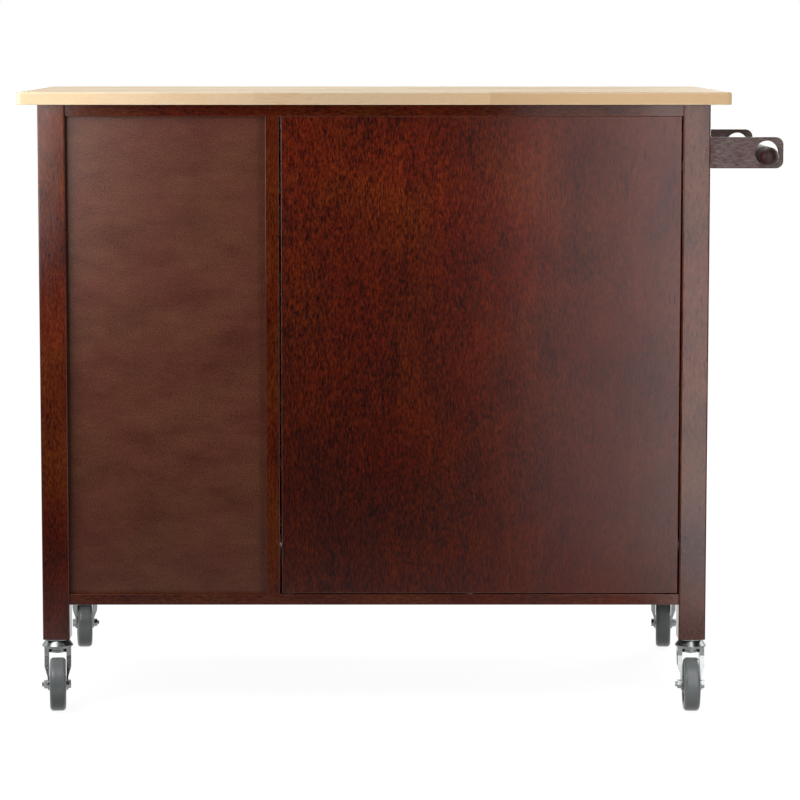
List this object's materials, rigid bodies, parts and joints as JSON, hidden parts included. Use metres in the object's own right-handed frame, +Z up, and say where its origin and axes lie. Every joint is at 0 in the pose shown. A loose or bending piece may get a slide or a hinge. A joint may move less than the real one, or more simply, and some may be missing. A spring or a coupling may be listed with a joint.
{
  "type": "kitchen cart",
  "caption": "Rolling kitchen cart with a pale wood worktop, a drawer and cupboard bay, an open shelf bay with its own drawer, a towel bar and swivel casters.",
  "frame": {"origin": "on the floor, under the middle of the whole cart's box, towel bar and caster wheels included", "axes": "+Z up, -Y towards the front with its drawers and doors, +X towards the end without the towel bar"},
  "size_m": [1.0674, 0.5478, 0.87],
  "materials": {
    "worktop_wood": "clear satin lacquer over pale solid wood",
    "stained_wood": "satin lacquer over red-brown stain",
    "back_veneer": "satin stained veneer with vertical grain",
    "back_board": "matte stained hardboard",
    "towel_wood": "satin dark stained wood",
    "drawer_wood": "clear sealed pale wood",
    "drawer_plywood": "sealed plywood",
    "knob_nickel": "brushed nickel",
    "hinge_steel": "satin plated",
    "screw_steel": "zinc plated",
    "catch_plastic": "moulded",
    "zinc_steel": "bright zinc plated pressed steel",
    "bolt_steel": "zinc plated",
    "lever_steel": "bright zinc plated",
    "wheel_grey": "satin grey moulded rubber"
  },
  "bodies": {
    "cart": {"worktop": "worktop_wood", "worktop_screws": "screw_steel", "leg_front_left": "stained_wood", "leg_back_left": "stained_wood", "leg_front_right": "stained_wood", "leg_back_right": "stained_wood", "side_panel_left": "stained_wood", "side_panel_right": "stained_wood", "partition": "stained_wood", "bottom_board": "stained_wood", "top_stretcher_front": "stained_wood", "top_stretcher_back": "stained_wood", "drawer_rail": "stained_wood", "shelf_bay_top_board": "stained_wood", "wide_back_panel": "back_veneer", "narrow_back_panel": "back_board", "cupboard_shelf": "stained_wood", "shelf_bay_shelves": "stained_wood", "shelf_pins": "screw_steel", "drawer_runners": "drawer_wood", "hinge_frame_leaves": "hinge_steel", "hinge_pins": "hinge_steel", "door_catches": "catch_plastic", "towel_bar_bracket_front": "towel_wood", "towel_bar_bracket_back": "towel_wood", "bracket_screws": "screw_steel", "caster_stems": "zinc_steel"},
    "towel_bar": {"towel_bar": "towel_wood"},
    "wide_drawer": {"wide_drawer_front": "stained_wood", "wide_drawer_sides": "drawer_wood", "wide_drawer_back": "drawer_wood", "wide_drawer_bottom": "drawer_plywood", "wide_drawer_knobs": "knob_nickel"},
    "narrow_drawer": {"narrow_drawer_front": "stained_wood", "narrow_drawer_sides": "drawer_wood", "narrow_drawer_back": "drawer_wood", "narrow_drawer_bottom": "drawer_plywood", "narrow_drawer_knob": "knob_nickel"},
    "left_door": {"left_door_frame": "stained_wood", "left_door_panel": "stained_wood", "left_door_knob": "knob_nickel", "left_door_hinge_leaves": "hinge_steel"},
    "right_door": {"right_door_frame": "stained_wood", "right_door_panel": "stained_wood", "right_door_knob": "knob_nickel", "right_door_hinge_leaves": "hinge_steel"},
    "caster_back_right_swivel": {"caster_back_right_fork": "zinc_steel", "caster_back_right_axle": "bolt_steel"},
    "caster_back_right_wheel": {"caster_back_right_wheel": "wheel_grey"},
    "caster_back_left_swivel": {"caster_back_left_fork": "zinc_steel", "caster_back_left_axle": "bolt_steel"},
    "caster_back_left_wheel": {"caster_back_left_wheel": "wheel_grey"},
    "caster_front_right_swivel": {"caster_front_right_fork": "zinc_steel", "caster_front_right_axle": "bolt_steel"},
    "caster_front_right_wheel": {"caster_front_right_wheel": "wheel_grey"},
    "caster_front_right_brake": {"caster_front_right_brake_lever": "lever_steel"},
    "caster_front_left_swivel": {"caster_front_left_fork": "zinc_steel", "caster_front_left_axle": "bolt_steel"},
    "caster_front_left_wheel": {"caster_front_left_wheel": "wheel_grey"},
    "caster_front_left_brake": {"caster_front_left_brake_lever": "lever_steel"}
  },
  "joints": [
    {"name": "wide_drawer_slide", "type": "slide", "parent": "cart", "child": "wide_drawer", "axis": [0, -1, 0], "range_m": [0, 0.3]},
    {"name": "narrow_drawer_slide", "type": "slide", "parent": "cart", "child": "narrow_drawer", "axis": [0, -1, 0], "range_m": [0, 0.3]},
    {"name": "left_door_swing", "type": "hinge", "parent": "cart", "child": "left_door", "pos_m": [-0.3885, -0.22491, 0.2415], "axis": [0, 0, -1], "range_deg": [0, 110]},
    {"name": "right_door_swing", "type": "hinge", "parent": "cart", "child": "right_door", "pos_m": [0.171, -0.22491, 0.2415], "axis": [0, 0, 1], "range_deg": [0, 110]},
    {"name": "towel_bar_turn", "type": "hinge", "parent": "cart", "child": "towel_bar", "pos_m": [-0.51095, 0.00459, 0.7802], "axis": [0, 1, 0], "continuous": true},
    {"name": "caster_back_right_swivel", "type": "hinge", "parent": "cart", "child": "caster_back_right_swivel", "pos_m": [0.48825, 0.21159, 0.0879], "axis": [0, 0, 1], "continuous": true},
    {"name": "caster_back_right_roll", "type": "hinge", "parent": "caster_back_right_swivel", "child": "caster_back_right_wheel", "pos_m": [0.48594, 0.23598, 0.0375], "axis": [0.9956, 0.0941, 0], "continuous": true},
    {"name": "caster_back_left_swivel", "type": "hinge", "parent": "cart", "child": "caster_back_left_swivel", "pos_m": [-0.40875, 0.21159, 0.0879], "axis": [0, 0, 1], "continuous": true},
    {"name": "caster_back_left_roll", "type": "hinge", "parent": "caster_back_left_swivel", "child": "caster_back_left_wheel", "pos_m": [-0.4079, 0.23608, 0.0375], "axis": [0.9994, -0.0349, 0], "continuous": true},
    {"name": "caster_front_right_swivel", "type": "hinge", "parent": "cart", "child": "caster_front_right_swivel", "pos_m": [0.48825, -0.20241, 0.0879], "axis": [0, 0, 1], "continuous": true},
    {"name": "caster_front_right_roll", "type": "hinge", "parent": "caster_front_right_swivel", "child": "caster_front_right_wheel", "pos_m": [0.49124, -0.22672, 0.0375], "axis": [-0.9925, -0.1219, 0], "continuous": true},
    {"name": "caster_front_right_brake", "type": "hinge", "parent": "caster_front_right_swivel", "child": "caster_front_right_brake", "pos_m": [0.49215, -0.23417, 0.08], "axis": [0.9925, 0.1219, 0], "range_deg": [0, 6.2]},
    {"name": "caster_front_left_swivel", "type": "hinge", "parent": "cart", "child": "caster_front_left_swivel", "pos_m": [-0.40875, -0.20241, 0.0879], "axis": [0, 0, 1], "continuous": true},
    {"name": "caster_front_left_roll", "type": "hinge", "parent": "caster_front_left_swivel", "child": "caster_front_left_wheel", "pos_m": [-0.41089, -0.22681, 0.0375], "axis": [-0.9962, 0.0872, 0], "continuous": true},
    {"name": "caster_front_left_brake", "type": "hinge", "parent": "caster_front_left_swivel", "child": "caster_front_left_brake", "pos_m": [-0.41154, -0.23429, 0.08], "axis": [0.9962, -0.0872, 0], "range_deg": [0, 6.2]}
  ]
}
